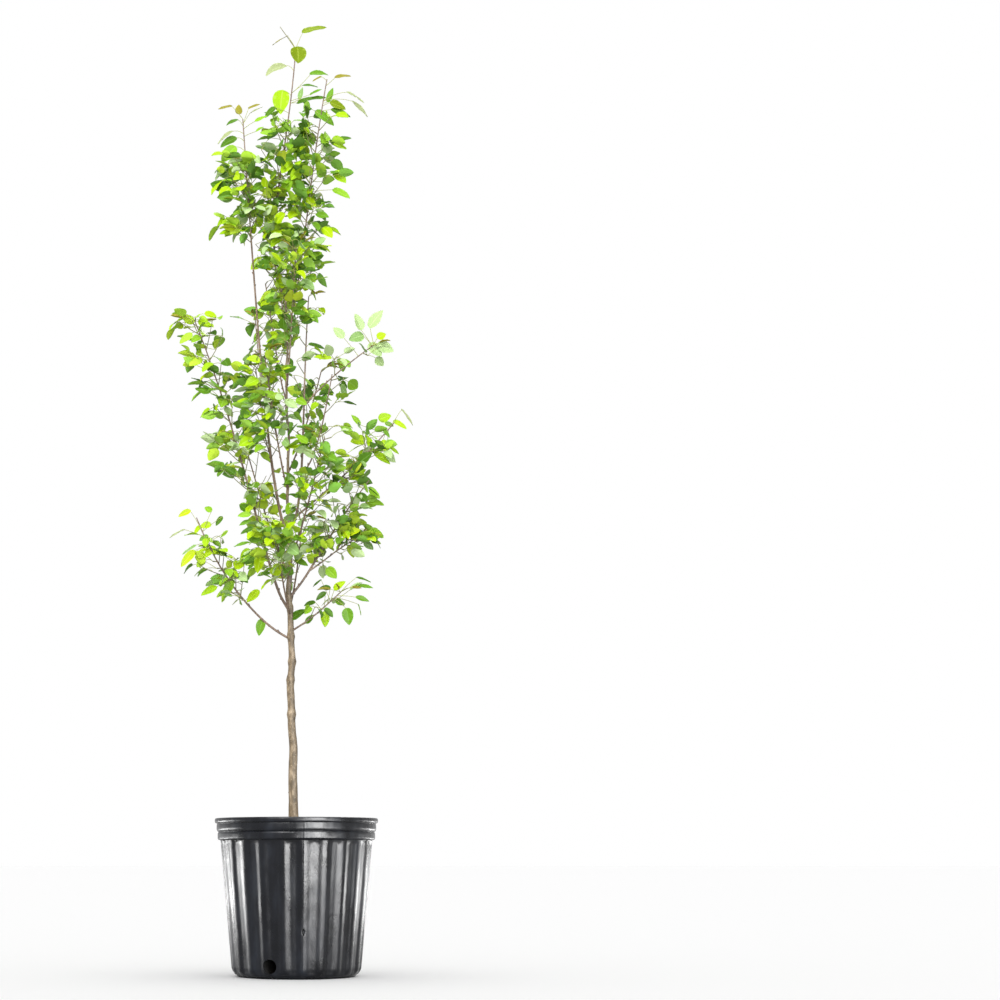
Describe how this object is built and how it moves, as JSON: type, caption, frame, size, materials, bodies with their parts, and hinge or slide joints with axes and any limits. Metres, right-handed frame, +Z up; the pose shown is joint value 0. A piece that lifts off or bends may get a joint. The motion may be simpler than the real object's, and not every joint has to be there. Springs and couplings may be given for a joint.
{
  "type": "potted pear tree",
  "caption": "Young pear tree with leaders and leafy side limbs in a fluted black nursery pot of soil, standing on the pot's flat underside.",
  "frame": {"origin": "middle of the pot's flat underside", "axes": "+Z up along the trunk, +X to the right and -Y towards the viewer of the front"},
  "size_m": [0.4903, 0.3927, 1.7724],
  "materials": {
    "pot": "blow-moulded black polyethylene, semi-gloss with faint vertical streaks",
    "soil": "dark crumbly bark and peat potting mix",
    "bark": "smooth grey-brown young pear bark with lenticels and bud scars",
    "leaves": "soft semi-gloss pear leaves, yellow-green to deep green"
  },
  "bodies": {
    "root": {"back_left": "bark", "back_left_leaves": "leaves", "crown_top_leaves": "leaves", "front_right": "bark", "front_right_leaves": "leaves", "high_back": "bark", "high_back_leaves": "leaves", "high_front": "bark", "high_front_leaves": "leaves", "leader_left": "bark", "leader_left_leaves": "leaves", "leader_right": "bark", "leader_right_leaves": "leaves", "left_inner_leaves": "leaves", "left_long": "bark", "left_long_leaves": "leaves", "left_upper_leaves": "leaves", "low_back": "bark", "low_back_leaves": "leaves", "low_front": "bark", "low_front_leaves": "leaves", "low_left": "bark", "low_left_leaves": "leaves", "low_right": "bark", "low_right_leaves": "leaves", "mid_back": "bark", "mid_back_leaves": "leaves", "mid_front": "bark", "mid_front_leaves": "leaves", "pot": "pot", "right_fork": "bark", "right_fork_leaves": "leaves", "right_high": "bark", "right_high_leaves": "leaves", "right_inner": "bark", "right_inner_leaves": "leaves", "right_rising": "bark", "right_rising_leaves": "leaves", "right_side": "bark", "right_side_leaves": "leaves", "soil": "soil", "top_left": "bark", "top_left_leaves": "leaves", "top_right": "bark", "top_right_leaves": "leaves", "trunk": "bark"}
  },
  "joints": []
}
